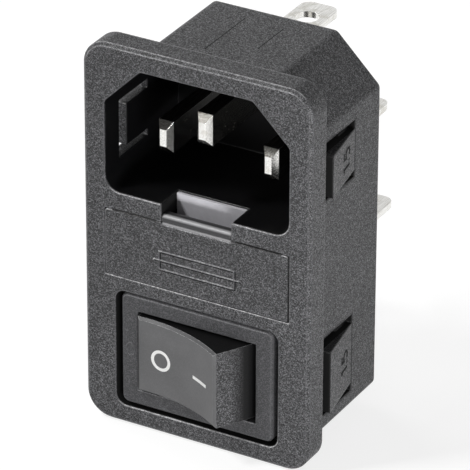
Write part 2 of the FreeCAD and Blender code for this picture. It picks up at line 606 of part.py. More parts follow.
def make_spring(label, z):
    wire, radius = number("springWire"), number("springRadius")
    start = number("postDrop - boreDepth") + wire
    length = number("plungerTip - plungerLong") - wire - start
    helix = Part.makeHelix(length / number("springTurns"), length, radius)
    helix.Placement = FreeCAD.Placement(FreeCAD.Vector(0, start, 0),
                                        FreeCAD.Rotation(FreeCAD.Vector(1, 0, 0), -90))
    # a square section keeps the faces of this hidden coil few
    corners = [FreeCAD.Vector(radius + x * wire, start + y * wire, 0)
               for x, y in ((1, 1), (1, -1), (-1, -1), (-1, 1))]
    section = Part.makePolygon(corners + corners[:1])
    coil = Part.Wire(helix.Edges).makePipeShell([section], True, True)
    spring = doc.addObject("Part::Feature", label)
    spring.Label = label
    spring.Shape = coil
    place(spring, y=pivot_in, z=z, turn="0 - rockerTilt")
    parts.append(spring)


def make_contact(label, z):
    body = make_body(label)
    # drawn closed: the long arm lies flat on the fixed stud and the short one stands up
    rise = "(tan(contactSwing) * contactTail)"
    bend = "(contactThick * tan(contactSwing / 2))"
    shape = [("0", "0"), ("0 - contactArm", "0"), ("0 - contactArm", "0 - contactThick"),
             (f"0 - {bend}", "0 - contactThick"),
             ("contactTail - contactThick * sin(contactSwing)",
              f"0 - {rise} - contactThick * cos(contactSwing)"),
             ("contactTail", f"0 - {rise}")]
    pad(body, polygon(sketch_on(body, "XY"), shape), "contactWide", middle=True)
    pad(body, circle(sketch_on(body, "XZ", "studThick"), "studInset - contactArm", "0", "stud"),
        "studThick")
    place(body, y=fulcrum_in, z=z, turn="contactSwing")


def make_centre_terminal(label, z):
    body = make_body(label)
    top = f"({fulcrum_in} + fitGap)"
    inner, side = "(contactWide / 2 + runGap)", "(tabWide / 2)"
    shape = [(top, f"0 - {inner}"), (top, inner), (f"{top} - earHigh", inner),
             (f"{top} - earHigh", side), ("switchTabEnd", side), ("switchTabEnd", f"0 - {side}"),
             (f"{top} - earHigh", f"0 - {side}"), (f"{top} - earHigh", f"0 - {inner}")]
    pad(body, polygon(sketch_on(body, "YZ"), shape), "tabThick", middle=True)
    finish_blade(body, "0")
    place(body, z=z)


def make_load_terminal(label, z):
    body = make_body(label)
    arm = f"({fulcrum_in} + studThick + contactGap + studBack)"
    blade = rectangle(sketch_on(body, "YZ", "0 - loadPitch"), arm, "0 - tabWide / 2",
                      "switchTabEnd", "tabWide / 2")
    pad(body, blade, "tabThick", middle=True)
    finish_blade(body, "0 - loadPitch")
    shelf = rectangle(sketch_on(body, "XY"), "0 - loadPitch - tabThick / 2", arm,
                      "loadReach - loadPitch", f"{arm} + tabThick")
    pad(body, shelf, "contactWide", middle=True)
    pad(body, circle(sketch_on(body, "XZ", arm), "studInset - contactArm", "0", "stud"),
        "studBack")
    place(body, z=z)


def finish_blade(body, x):
    dress(body, "Fillet", "switchTabCorner",
          lambda e: runs(e, 0) and near(e.CenterOfMass.y, "switchTabEnd"))
    eye = circle(sketch_on(body, "YZ", x), "switchTabEnd - switchHoleBack", "0", "switchTabHole")
    pocket(body, eye, "tabThick + fitGap", middle=True)


make_housing()
make_pin("line_pin", "0 - pinPitch / 2", "linePinUp", "linePinTip")
make_pin("neutral_pin", "pinPitch / 2", "linePinUp", "linePinTip")
make_pin("earth_pin", "0", "earthPinUp", "(linePinTip - earthLead)")
make_tab("line_tab", "0 - pinPitch / 2", "linePinUp", "lineTabUp", "-")
make_tab("neutral_tab", "pinPitch / 2", "linePinUp", "lineTabUp", "-")
make_tab("earth_tab", "0", "earthPinUp", "earthTabUp", "")
make_drawer()
make_carrier()
make_fuse("working_fuse", live_in)
make_fuse("spare_fuse", spare_in)
make_fuse_contact("fuse_contact_in", f"0 - {cap_middle}")
make_fuse_contact("fuse_contact_out", cap_middle)
make_switch_frame()
make_rocker()
for name, sign in (("upper", "0 + "), ("lower", "0 - ")):
    height = f"{sign}{pole} - switchDown"
    make_plunger(f"{name}_plunger", height)
    make_spring(f"{name}_spring", height)
    make_contact(f"{name}_contact", height)
    make_centre_terminal(f"{name}_feed_terminal", height)
    make_load_terminal(f"{name}_load_terminal", height)

doc.recompute()
for thing in doc.Objects:
    if "Invalid" in thing.State or "Error" in thing.State:
        raise SystemExit(f"{thing.Label} failed: {thing.State}")
os.makedirs("parts", exist_ok=True)
for piece in parts:
    shape = piece.Shape
    if shape.isNull() or not shape.isValid() or not shape.Solids:
        raise SystemExit(f"{piece.Label} has no valid solid")
    shape.exportStep(f"parts/{piece.Label}.step")
    box = shape.BoundBox
    print(f"{piece.Label}: {len(shape.Solids)} solid, {shape.Volume:.2f} mm3, "
          f"x {box.XMin:.2f}..{box.XMax:.2f} y {box.YMin:.2f}..{box.YMax:.2f} "
          f"z {box.ZMin:.2f}..{box.ZMax:.2f}")
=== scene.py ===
import bmesh
import bpy
import json
import math
from mathutils import Matrix, Vector
from mathutils.bvhtree import BVHTree


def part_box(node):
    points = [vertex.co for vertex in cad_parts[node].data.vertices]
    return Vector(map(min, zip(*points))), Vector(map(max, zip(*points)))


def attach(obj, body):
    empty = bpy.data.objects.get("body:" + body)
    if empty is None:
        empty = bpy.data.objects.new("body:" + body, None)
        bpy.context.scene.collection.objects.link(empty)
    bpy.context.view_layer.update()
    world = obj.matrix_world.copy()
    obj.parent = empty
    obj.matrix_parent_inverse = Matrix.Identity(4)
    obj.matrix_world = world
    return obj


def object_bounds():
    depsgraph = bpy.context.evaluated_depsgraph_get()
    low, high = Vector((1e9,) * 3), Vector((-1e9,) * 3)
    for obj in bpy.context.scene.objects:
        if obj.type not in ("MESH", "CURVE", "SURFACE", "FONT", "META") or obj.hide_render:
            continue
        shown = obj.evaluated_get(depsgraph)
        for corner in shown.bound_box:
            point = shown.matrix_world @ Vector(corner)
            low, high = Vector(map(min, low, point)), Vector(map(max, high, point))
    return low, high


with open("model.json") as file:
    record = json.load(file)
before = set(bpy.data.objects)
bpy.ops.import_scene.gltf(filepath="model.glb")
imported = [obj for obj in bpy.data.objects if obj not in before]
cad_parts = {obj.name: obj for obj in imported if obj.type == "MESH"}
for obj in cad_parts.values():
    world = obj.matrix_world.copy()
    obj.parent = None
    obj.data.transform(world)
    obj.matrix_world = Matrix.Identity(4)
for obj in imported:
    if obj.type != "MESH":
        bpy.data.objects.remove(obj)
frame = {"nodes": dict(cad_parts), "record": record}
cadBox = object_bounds()
nodes = frame["nodes"]
mm = 0.001
print("frame loaded,", len(nodes), "nodes")


# small helpers for node trees
def addNode(tree, kind, inputs=None, **settings):
    node = tree.nodes.new(kind)
    for key, value in settings.items():
        setattr(node, key, value)
    for key, value in (inputs or {}).items():
        if isinstance(value, bpy.types.NodeSocket):
            tree.links.new(value, node.inputs[key])
        else:
            node.inputs[key].default_value = value
    return node


def newGroup(name, inputs, outputs):
    tree = bpy.data.node_groups.new(name, "ShaderNodeTree")
    for label, kind, value in inputs:
        socket = tree.interface.new_socket(label, in_out="INPUT", socket_type=kind)
        socket.default_value = value
    for label, kind in outputs:
        tree.interface.new_socket(label, in_out="OUTPUT", socket_type=kind)
    return tree, addNode(tree, "NodeGroupInput").outputs, addNode(tree, "NodeGroupOutput").inputs


def mixValue(tree, factor, low, high):
    node = addNode(tree, "ShaderNodeMix", {0: factor, 2: low, 3: high}, data_type="FLOAT")
    return node.outputs[0]


def mixColour(tree, factor, low, high, blend="MIX"):
    node = addNode(tree, "ShaderNodeMix", {0: factor, 6: low, 7: high}, data_type="RGBA",
                   blend_type=blend)
    return node.outputs[2]


def doMath(tree, what, a, b=0.0, clamp=False):
    return addNode(tree, "ShaderNodeMath", {0: a, 1: b}, operation=what, use_clamp=clamp).outputs[0]


def doVector(tree, what, a, b):
    node = addNode(tree, "ShaderNodeVectorMath", {0: a, 1: b}, operation=what)
    return node.outputs["Value" if what == "DOT_PRODUCT" else "Vector"]


def remap(tree, value, low, high, toLow=0.0, toHigh=1.0):
    node = addNode(tree, "ShaderNodeMapRange", {0: value, 1: low, 2: high, 3: toLow, 4: toHigh})
    return node.outputs[0]


def noiseOf(tree, place, scale, detail=2.0, roughness=0.5):
    return addNode(tree, "ShaderNodeTexNoise", {"Vector": place, "Scale": scale, "Detail": detail,
                                                "Roughness": roughness}).outputs["Fac"]


# effects shared by several finishes
grainMix = {"pits": 0.7, "crests": 0.25, "fleckPower": 2.6, "fleckShare": 0.75,
            "unevenFrom": 0.36, "unevenTo": 0.66}


def makeGrainGroup():
    # spark-eroded mould texture: tiny pits and crests, each crest catching a different light
    tree, given, out = newGroup("mouldGrain", [("Cell mm", "NodeSocketFloat", 0.2)],
                                [("Height", "NodeSocketFloat"), ("Fleck", "NodeSocketFloat")])
    place = addNode(tree, "ShaderNodeTexCoord").outputs["Object"]
    scale = doMath(tree, "DIVIDE", 1 / mm, given["Cell mm"])
    pits = addNode(tree, "ShaderNodeTexVoronoi", {"Vector": place, "Scale": scale}).outputs
    soft = noiseOf(tree, place, scale, 3.0, 0.65)
    crest = addNode(tree, "ShaderNodeSeparateColor", {0: pits["Color"]}).outputs[0]
    height = doMath(tree, "ADD", doMath(tree, "MULTIPLY", pits["Distance"], grainMix["pits"]), soft)
    crestHeight = doMath(tree, "MULTIPLY", crest, grainMix["crests"])
    tree.links.new(doMath(tree, "ADD", height, crestHeight), out["Height"])
    share = grainMix["fleckShare"]
    uneven = remap(tree, soft, grainMix["unevenFrom"], grainMix["unevenTo"])
    sparse = doMath(tree, "POWER", crest, grainMix["fleckPower"])    # few bright flecks, many dark
    fleck = doMath(tree, "ADD", doMath(tree, "MULTIPLY", sparse, share),
                   doMath(tree, "MULTIPLY", uneven, 1 - share))
    tree.links.new(fleck, out["Fleck"])
    return tree


cloudLook = {"detail": 4.0, "roughness": 0.6, "from": 0.3, "to": 0.7}


def makeCloudGroup():
    # broad, weak unevenness of a surface, from handling and from flow in the mould
    tree, given, out = newGroup("surfaceCloud", [("Size mm", "NodeSocketFloat", 8.0)],
                                [("Cloud", "NodeSocketFloat")])
    place = addNode(tree, "ShaderNodeTexCoord").outputs["Object"]
    cloud = noiseOf(tree, place, doMath(tree, "DIVIDE", 1 / mm, given["Size mm"]),
                    cloudLook["detail"], cloudLook["roughness"])
    tree.links.new(remap(tree, cloud, cloudLook["from"], cloudLook["to"]), out["Cloud"])
    return tree


# the upward direction of the painted highlight on upper edges is the world's, and doesn't turn with
# a piece
edgeLook = {"sharp": 0.998, "turned": 0.92, "breakGrain": 5200.0, "breakFrom": 0.3, "breakTo": 0.6,
            "upward": (-0.30, -0.45, 0.84), "upperFrom": 0.5, "upperTo": 0.78,
            "nickGrain": 3400.0, "nickFrom": 0.42, "nickTo": 0.56, "nickLeast": 0.35}


def makeEdgeGroup():
    # rounded edges: the softened normal, a mask of the crest, which is lighter partly from handling
    # wear and partly as painted highlight, and the share of that crest which faces up and takes a
    # painted highlight
    tree, given, out = newGroup(
        "edgeWearAndHighlight", [("Radius mm", "NodeSocketFloat", 0.15), ("Break", "NodeSocketFloat", 0.5)],
        [("Edge", "NodeSocketFloat"), ("Painted edge highlight", "NodeSocketFloat"),
         ("Normal", "NodeSocketVector")])
    radius = doMath(tree, "MULTIPLY", given["Radius mm"], mm)
    soft = addNode(tree, "ShaderNodeBevel", {"Radius": radius}, samples=6).outputs[0]
    geometry = addNode(tree, "ShaderNodeNewGeometry").outputs
    same = doVector(tree, "DOT_PRODUCT", soft, geometry["True Normal"])
    turn = remap(tree, same, edgeLook["sharp"], edgeLook["turned"])
    place = addNode(tree, "ShaderNodeTexCoord").outputs["Object"]
    broken = noiseOf(tree, place, edgeLook["breakGrain"], 3.0, 0.7)
    broken = remap(tree, broken, edgeLook["breakFrom"], edgeLook["breakTo"])
    hold = doMath(tree, "SUBTRACT", 1.0, given["Break"])
    kept = doMath(tree, "ADD", hold, doMath(tree, "MULTIPLY", broken, given["Break"]))
    edge = doMath(tree, "MULTIPLY", turn, kept, clamp=True)
    tree.links.new(edge, out["Edge"])
    # painted highlight: the part of the edge crest that faces up, broken up by nicks
    facing = doVector(tree, "DOT_PRODUCT", soft, edgeLook["upward"])
    upper = remap(tree, facing, edgeLook["upperFrom"], edgeLook["upperTo"])
    nicks = noiseOf(tree, place, edgeLook["nickGrain"], 2.0, 0.6)
    nicks = remap(tree, nicks, edgeLook["nickFrom"], edgeLook["nickTo"],
                  edgeLook["nickLeast"], 1.0)
    upper = doMath(tree, "MULTIPLY", upper, nicks)
    tree.links.new(doMath(tree, "MULTIPLY", edge, upper), out["Painted edge highlight"])
    tree.links.new(soft, out["Normal"])
    return tree


noCut = 1000    # mm, so far up that a room keeps its upper corners


def makeRoomGroup():
    # 1 inside a box whose upper corners are cut, 0 outside it, with a soft border
    tree, given, out = newGroup("insideRoom", [
        ("Centre", "NodeSocketVector", (0, 0, 0)), ("Half", "NodeSocketVector", (0.01, 0.01, 0.01)),
        ("Cut", "NodeSocketFloat", 1.0), ("Border mm", "NodeSocketFloat", 0.1)],
        [("Mask", "NodeSocketFloat")])
    place = addNode(tree, "ShaderNodeTexCoord").outputs["Object"]
    across, _, up = addNode(tree, "ShaderNodeSeparateXYZ", {0: place}).outputs
    slope = doMath(tree, "SUBTRACT", doMath(
        tree, "ADD", doMath(tree, "ABSOLUTE", across), up), given["Cut"])
    away = doVector(tree, "SUBTRACT", place, given["Centre"])
    away = addNode(tree, "ShaderNodeVectorMath", {0: away}, operation="ABSOLUTE").outputs[0]
    x, y, z = addNode(tree, "ShaderNodeSeparateXYZ",
                      {0: doVector(tree, "SUBTRACT", away, given["Half"])}).outputs
    worst = doMath(tree, "MAXIMUM", x, y)
    worst = doMath(tree, "MAXIMUM", worst, doMath(tree, "MAXIMUM", z, slope))
    border = doMath(tree, "MULTIPLY", given["Border mm"], mm)
    mask = doMath(tree, "SUBTRACT", 1.0, doMath(tree, "DIVIDE", worst, border), clamp=True)
    tree.links.new(mask, out["Mask"])
    return tree


streakLook = {"lineFrom": 0.3, "lineTo": 0.7, "spotGrain": 900.0, "spotFrom": 0.5, "spotTo": 0.75}


def makeStreakGroup():
    # fine lines that drawing and stamping leave along a strip, and small dull spots
    tree, given, out = newGroup("drawnStreaks", [
        ("Stretch", "NodeSocketVector", (1, 0.06, 1)), ("Line mm", "NodeSocketFloat", 0.12)],
        [("Streak", "NodeSocketFloat"), ("Spot", "NodeSocketFloat")])
    place = addNode(tree, "ShaderNodeTexCoord").outputs["Object"]
    stretched = doVector(tree, "MULTIPLY", place, given["Stretch"])
    scale = doMath(tree, "DIVIDE", 1 / mm, given["Line mm"])
    lines = noiseOf(tree, stretched, scale, 3.0)
    lines = remap(tree, lines, streakLook["lineFrom"], streakLook["lineTo"])
    tree.links.new(lines, out["Streak"])
    spots = noiseOf(tree, place, streakLook["spotGrain"], 4.0)
    spots = remap(tree, spots, streakLook["spotFrom"], streakLook["spotTo"])
    tree.links.new(spots, out["Spot"])
    return tree


def makeFacingGroup():
    # 1 on faces that look along a direction, 0 on the others
    tree, given, out = newGroup("facesToward", [("Direction", "NodeSocketVector", (0, 0, 1)),
                                ("From", "NodeSocketFloat", 0.3), ("To", "NodeSocketFloat", 0.6)],
                                [("Mask", "NodeSocketFloat")])
    normal = addNode(tree, "ShaderNodeTexCoord").outputs["Normal"]
    turn = doVector(tree, "DOT_PRODUCT", normal, given["Direction"])
    tree.links.new(remap(tree, turn, given["From"], given["To"]), out["Mask"])
    return tree


grainGroup = makeGrainGroup()
cloudGroup = makeCloudGroup()
edgeGroup = makeEdgeGroup()
roomGroup = makeRoomGroup()
streakGroup = makeStreakGroup()
facingGroup = makeFacingGroup()


def useGroup(tree, group, **values):
    node = addNode(tree, "ShaderNodeGroup", node_tree=group)
    for key, value in values.items():
        node.inputs[key.replace("_", " ")].default_value = value
    return node.outputs


# finishes
def startMaterial(name, **constants):
    material = bpy.data.materials.new(name)
    material.use_nodes = True
    tree = material.node_tree
    shader = tree.nodes["Principled BSDF"]
    for key, value in constants.items():
        shader.inputs[key.replace("_", " ")].default_value = value
    return material, tree, shader.inputs


def setBump(tree, shader, height, distance, normal=None):
    given = {"Height": height, "Distance": distance * mm}
    if normal:
        given["Normal"] = normal
    tree.links.new(addNode(tree, "ShaderNodeBump", given).outputs[0], shader["Normal"])


# in a cavity, which lies in painted shade, the grain is smooth and the edges keep little of their
# lighter colour and painted highlight
cavityLook = {"height": 0.5, "edgeLeft": 0.1, "towardFrom": 0.86, "towardTo": 0.99}
edgeHeight = 0.6    # polished edges keep no grain


def grainedPlastic(name, look, rooms=()):
    # lengths in the looks are in mm
    material, tree, shader = startMaterial(name, Specular_IOR_Level=look["specular"])
    grain = useGroup(tree, grainGroup, Cell_mm=look["cell"])
    cloud = useGroup(tree, cloudGroup, Size_mm=look["cloud"])["Cloud"]
    edge = useGroup(tree, edgeGroup, Radius_mm=look["edgeRadius"], Break=look["edgeBreak"])
    colour = mixColour(tree, grain["Fleck"], look["low"], look["high"])
    colour = mixColour(tree, doMath(tree, "MULTIPLY", cloud, look["uneven"]), colour, look["low"])
    rough = mixValue(tree, grain["Fleck"], look["roughness"][1], look["roughness"][0])
    height = grain["Height"]
    outside = 1.0    # how far a place is out of the cavities
    for room in rooms:
        low, high = (Vector(corner) * mm for corner in room["box"])
        mask = useGroup(tree, roomGroup, Centre=(low + high) / 2, Half=(high - low) / 2,
                        Cut=room.get("cut", noCut) * mm, Border_mm=room["border"])["Mask"]
        if "toward" in room:
            mask = doMath(tree, "MULTIPLY", mask, useGroup(
                tree, facingGroup, Direction=room["toward"], From=cavityLook["towardFrom"],
                To=cavityLook["towardTo"])["Mask"])
        colour = mixColour(tree, mask, colour, room["colour"])
        rough = mixValue(tree, mask, rough, room["roughness"])
        height = mixValue(tree, mask, height, cavityLook["height"])
        outside = mixValue(tree, mask, outside, cavityLook["edgeLeft"])
    # edges get a lighter colour, partly handling wear and partly painted highlight, and upper edges
    # a painted highlight
    edgeWearAndShine = doMath(tree, "MULTIPLY", doMath(tree, "MULTIPLY", edge["Edge"], outside),
                   look["edgeAmount"])
    upper = doMath(tree, "MULTIPLY", edge["Painted edge highlight"], outside)
    height = mixValue(tree, edge["Edge"], height, edgeHeight)
    colour = mixColour(tree, edgeWearAndShine, colour, look["edgeColour"])
    colour = mixColour(tree, upper, colour, look["paintedHighlightColour"])
    tree.links.new(colour, shader["Base Color"])
    tree.links.new(mixValue(tree, edge["Edge"], rough, look["edgeRoughness"]), shader["Roughness"])
    setBump(tree, shader, height, look["depth"], edge["Normal"])
    return material


def dishedPlastic(name, look, satin):
    # satin on the faces toward one direction, and mould grain on the others, with painted shade
    # where they face up and where they stand in the window of the frame
    material, tree, shader = startMaterial(name, Specular_IOR_Level=look["specular"])
    grain = useGroup(tree, grainGroup, Cell_mm=look["cell"])
    cloud = useGroup(tree, cloudGroup, Size_mm=look["cloud"])["Cloud"]
    edge = useGroup(tree, edgeGroup, Radius_mm=satin["edgeRadius"], Break=satin["edgeBreak"])
    front = useGroup(tree, facingGroup, Direction=satin["toward"], From=satin["towardFrom"],
                     To=satin["towardTo"])["Mask"]
    coarse = mixColour(tree, grain["Fleck"], look["low"], look["high"])
    # painted shade near the window of the frame and on the faces that look up
    low, high = (Vector(corner) * mm for corner in satin["window"])
    mask = useGroup(tree, roomGroup, Centre=(low + high) / 2, Half=(high - low) / 2,
                    Cut=noCut * mm, Border_mm=satin["border"])["Mask"]
    upward = useGroup(tree, facingGroup, Direction=(0, 0, 1), From=satin["upwardFrom"],
                      To=satin["upwardTo"])["Mask"]
    coarse = mixColour(tree, doMath(tree, "MAXIMUM", mask, upward), coarse, shade["colour"])
    flecks = mixValue(tree, satin["fleckShare"], cloud, grain["Fleck"])
    fine = mixColour(tree, flecks, satin["low"], satin["high"])
    colour = mixColour(tree, front, coarse, fine)
    # edges lighter, partly wear and partly painted highlight, and a painted highlight on upper
    # edges
    colour = mixColour(tree, edge["Edge"], colour, satin["edgeColour"])
    colour = mixColour(tree, edge["Painted edge highlight"], colour, look["paintedHighlightColour"])
    tree.links.new(colour, shader["Base Color"])
    rough = mixValue(tree, cloud, *satin["roughness"])
    tree.links.new(mixValue(tree, front, satin["sideRoughness"], rough), shader["Roughness"])
    share = mixValue(tree, front, 1.0, satin["bumpShare"])
    setBump(tree, shader, doMath(tree, "MULTIPLY", grain["Height"], share), look["depth"],
            edge["Normal"])
    return material


def satinPlastic(name, look):
    material, tree, shader = startMaterial(name, Specular_IOR_Level=look.get("specular", 0.5))
    cloud = useGroup(tree, cloudGroup, Size_mm=look["cloud"])["Cloud"]
    grain = useGroup(tree, grainGroup, Cell_mm=look["cell"])
    edge = useGroup(tree, edgeGroup, Radius_mm=look["edgeRadius"], Break=0.3)
    factor = mixValue(tree, look["fleckShare"], cloud, grain["Fleck"])
    colour = mixColour(tree, factor, look["low"], look["high"])
    colour = mixColour(tree, edge["Edge"], colour, look["edgeColour"])
    tree.links.new(colour, shader["Base Color"])
    tree.links.new(mixValue(tree, cloud, *look["roughness"]), shader["Roughness"])
    setBump(tree, shader, grain["Height"], look["depth"], edge["Normal"])
    return material


def platedMetal(name, look):
    material, tree, shader = startMaterial(name, Metallic=1.0)
    streak = useGroup(tree, streakGroup, Stretch=look["stretch"], Line_mm=look["line"])
    edge = useGroup(tree, edgeGroup, Radius_mm=0.08, Break=0.4)
    colour = mixColour(tree, streak["Streak"], look["low"], look["high"])
    colour = mixColour(tree, streak["Spot"], colour, look["spot"])
    colour = mixColour(tree, edge["Edge"], colour, look["high"])
    rough = mixValue(tree, streak["Streak"], *look["roughness"])
    rough = doMath(tree, "ADD", rough, doMath(tree, "MULTIPLY", streak["Spot"], look["spotDull"]))
    if "cut" in look:    # coined bevels that face up are dull, and darkened by a painted dark reflection
        bevel = look["cut"]
        cut = useGroup(tree, facingGroup, Direction=bevel["toward"], From=bevel["from"],
                       To=bevel["to"])["Mask"]
        streaked = remap(tree, streak["Streak"], 0.1, 0.9, 1.0, bevel["streakLeast"])
        cut = doMath(tree, "MULTIPLY", cut, streaked)
        colour = mixColour(tree, cut, colour, bevel["colour"])
        rough = mixValue(tree, cut, rough, bevel["roughness"])
    tree.links.new(colour, shader["Base Color"])
    tree.links.new(rough, shader["Roughness"])
    setBump(tree, shader, streak["Streak"], look["depth"], edge["Normal"])
    return material


def clearGlass(name, look):
    material, tree, shader = startMaterial(name, Transmission_Weight=1.0, IOR=1.5)
    cloud = useGroup(tree, cloudGroup, Size_mm=look["cloud"])["Cloud"]
    tree.links.new(mixColour(tree, cloud, look["low"], look["high"]), shader["Base Color"])
    tree.links.new(mixValue(tree, cloud, *look["roughness"]), shader["Roughness"])
    return material


def paint(material, *names):
    for name in names:
        mesh = nodes[name].data
        mesh.materials.clear()
        mesh.materials.append(material)


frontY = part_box("fuse_drawer")[0].y / mm        # the front plane of flange and drawer
# the near-white upper colour is a painted highlight on upper edges
plasticLook = {"low": (0.0, 0.0, 0.0, 1), "high": (0.228, 0.228, 0.239, 1), "cell": 0.11,
               "cloud": 7.0, "uneven": 0.14, "depth": 0.016, "roughness": (0.28, 0.60),
               "edgeRadius": 0.30, "edgeBreak": 0.55, "edgeAmount": 0.6, "edgeRoughness": 0.16,
               "edgeColour": (0.17, 0.17, 0.18, 1), "paintedHighlightColour": (0.95, 0.95, 0.96, 1),
               "specular": 0.28}
# painted shade: a near-black colour put where little light reaches
shade = {"colour": (0.0045, 0.0045, 0.005, 1), "roughness": 0.36, "border": 0.12}
deepShade = dict(shade, colour=(0.002, 0.002, 0.002, 1), roughness=0.8)
# painted shade where the housing is dark, in mm, with smoother plastic in the recess: recess, pull
# notch, switch bay, drawer bay and its seam, the slots behind and under the right tongues; and two
# dark lines on top
housingRooms = [
    dict(shade, box=((-12.36, frontY + 0.35, 5.8), (12.36, 13.9, 22.5)), cut=30.3),
    dict(deepShade, box=((-4.85, frontY + 0.3, 3.4), (4.85, 0.95, 5.88))),
    dict(deepShade, box=((-11.1, frontY + 0.25, -22.6), (11.1, 1.0, -6.8))),
    dict(deepShade, box=((-11.25, frontY + 0.05, -5.25), (11.25, 1.0, 3.66)), border=0.05),
    dict(deepShade, box=((-11.35, frontY - 0.1, 3.5), (-5.3, frontY + 0.3, 3.74)), border=0.05),
    dict(deepShade, box=((5.3, frontY - 0.1, 3.5), (11.35, frontY + 0.3, 3.74)), border=0.05),
    dict(deepShade, box=((12.4, 0.05, 8.5), (13.85, 9.5, 16.2))),
    dict(deepShade, box=((12.4, 0.05, 8.5), (15.3, 1.78, 16.2))),
    dict(deepShade, box=((12.0, 0.05, -20.2), (13.85, 9.5, -9.5))),
    dict(deepShade, box=((12.0, 0.05, -20.2), (15.3, 1.78, -9.5))),
    dict(deepShade, box=((-2.74, 3.4, 23.3), (-2.66, 12.9, 24.0)), border=0.05),
    dict(deepShade, box=((2.56, 6.4, 23.3), (2.64, 12.6, 24.0)), border=0.05)]
housingFinish = grainedPlastic("housingPlastic", plasticLook, housingRooms)
pullBar = {"colour": (0.045, 0.045, 0.047, 1), "roughness": 0.30, "border": 0.15,
           "box": ((-5.6, frontY - 1.2, 3.45), (5.3, frontY + 1.5, 5.3))}
drawerSeamShade = dict(deepShade, border=0.06)
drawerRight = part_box("fuse_drawer")[1].x / mm
# a darker, glossier pull bar, a painted highlight on its crest that faces up, and painted shade
# along the drawer's seams
drawerRooms = [
    pullBar, dict(pullBar, colour=(0.36, 0.36, 0.37, 1), toward=(0, -0.6, 0.8)),
    dict(drawerSeamShade, box=((-11.3, frontY - 0.2, 3.43), (-5.4, frontY + 0.6, 3.75))),
    dict(drawerSeamShade, box=((5.2, frontY - 0.2, 3.43), (11.3, frontY + 0.6, 3.75))),
    dict(drawerSeamShade, box=((drawerRight - 0.1, frontY - 0.2, -5.4),
                          (drawerRight + 0.1, frontY + 0.6, 3.75)))]
drawerFinish = grainedPlastic("drawerPlastic", dict(plasticLook, uneven=0.22, cloud=4.0),
                              drawerRooms)
frameFinish = grainedPlastic("framePlastic", dict(
    plasticLook, cell=0.10, depth=0.008, low=(0.03, 0.03, 0.032, 1), high=(0.13, 0.13, 0.137, 1),
    edgeBreak=0.5, edgeAmount=0.5, paintedHighlightColour=(0.35, 0.35, 0.36, 1)))
rockerTurn = math.radians(15)    # how far the dish is turned at rest
rockerSatin = {
    "toward": (-math.sin(rockerTurn), -math.cos(rockerTurn), 0), "towardFrom": 0.55,
    "towardTo": 0.7, "upwardFrom": 0.8, "upwardTo": 0.95,
    # the room of painted shade where the rocker stands in the window of the frame, in mm
    "window": ((-12, frontY - 0.4, -30), (12, 8, 0)), "border": 1.6,
    "low": (0.094, 0.094, 0.096, 1), "high": (0.146, 0.146, 0.150, 1), "roughness": (0.34, 0.42),
    "sideRoughness": 0.5, "fleckShare": 0.4, "bumpShare": 0.2, "edgeRadius": 0.06,
    "edgeBreak": 0.3, "edgeColour": (0.16, 0.16, 0.165, 1)}
rockerFinish = dishedPlastic("rockerPlastic", dict(plasticLook, cell=0.12, depth=0.014),
                             rockerSatin)
carrierFinish = satinPlastic("carrierPlastic", {
    "low": (0.66, 0.65, 0.69, 1), "high": (0.77, 0.76, 0.80, 1), "roughness": (0.40, 0.55),
    "cell": 0.4, "cloud": 2.5, "depth": 0.003, "fleckShare": 0.25, "edgeRadius": 0.06,
    "edgeColour": (0.62, 0.62, 0.64, 1)})
printFinish = satinPlastic("printWhite", {
    "low": (0.78, 0.78, 0.77, 1), "high": (0.86, 0.86, 0.85, 1), "roughness": (0.45, 0.6),
    "cell": 0.12, "cloud": 1.0, "depth": 0.002, "fleckShare": 0.4, "edgeRadius": 0.02,
    "edgeColour": (0.85, 0.85, 0.84, 1)})
# painted shade: near-black flat strokes for the shade in sunk marks and at the foot of raised ones
paintedShadeFinish = satinPlastic("sunkShade", {
    "low": (0.003, 0.003, 0.003, 1), "high": (0.010, 0.010, 0.011, 1), "roughness": (0.6, 0.8),
    "cell": 0.12, "cloud": 1.0, "depth": 0.004, "fleckShare": 0.5, "edgeRadius": 0.02,
    "edgeColour": (0.02, 0.02, 0.02, 1), "specular": 0.1})
nickelLook = {"low": (0.74, 0.73, 0.70, 1), "high": (0.93, 0.925, 0.90, 1),
              "spot": (0.66, 0.64, 0.58, 1), "roughness": (0.24, 0.14), "stretch": (1, 0.06, 1),
              "line": 0.12, "spotDull": 0.08, "depth": 0.003}
nickelFinish = platedMetal("nickelPlate", nickelLook)
# dull cut bevels on the pins, with a painted dark reflection on those that face up
pinBevelDarkReflection = {"toward": (0, -0.2, 1), "from": 0.3, "to": 0.55, "streakLeast": 0.75,
          "colour": (0.07, 0.065, 0.055, 1), "roughness": 0.42}
pinFinish = platedMetal("pinPlate", dict(nickelLook, cut=pinBevelDarkReflection))
silverFinish = platedMetal("silverContact", dict(nickelLook, low=(0.86, 0.85, 0.82, 1)))
steelFinish = platedMetal("springSteel", dict(nickelLook, low=(0.42, 0.42, 0.41, 1),
                                              high=(0.62, 0.61, 0.6, 1), line=0.05))
glassFinish = clearGlass("fuseGlass", {
    "low": (0.93, 0.96, 0.95, 1), "high": (0.99, 1, 1, 1), "roughness": (0.02, 0.06), "cloud": 3.0})

# the first of these words in a node's name gives its finish, and nickel is on the rest
finishOf = {
    "_pin": pinFinish, "housing": housingFinish, "fuse_drawer": drawerFinish,
    "switch_frame": frameFinish, "rocker": rockerFinish, "fuse_carrier": carrierFinish,
    "glass": glassFinish, "spring": steelFinish, "wire": steelFinish,
    "upper_contact": silverFinish, "lower_contact": silverFinish}
for name in nodes:
    found = [finish for part, finish in finishOf.items() if part in name]
    paint(found[0] if found else nickelFinish, name)
print("finishes on", len(nodes), "nodes")


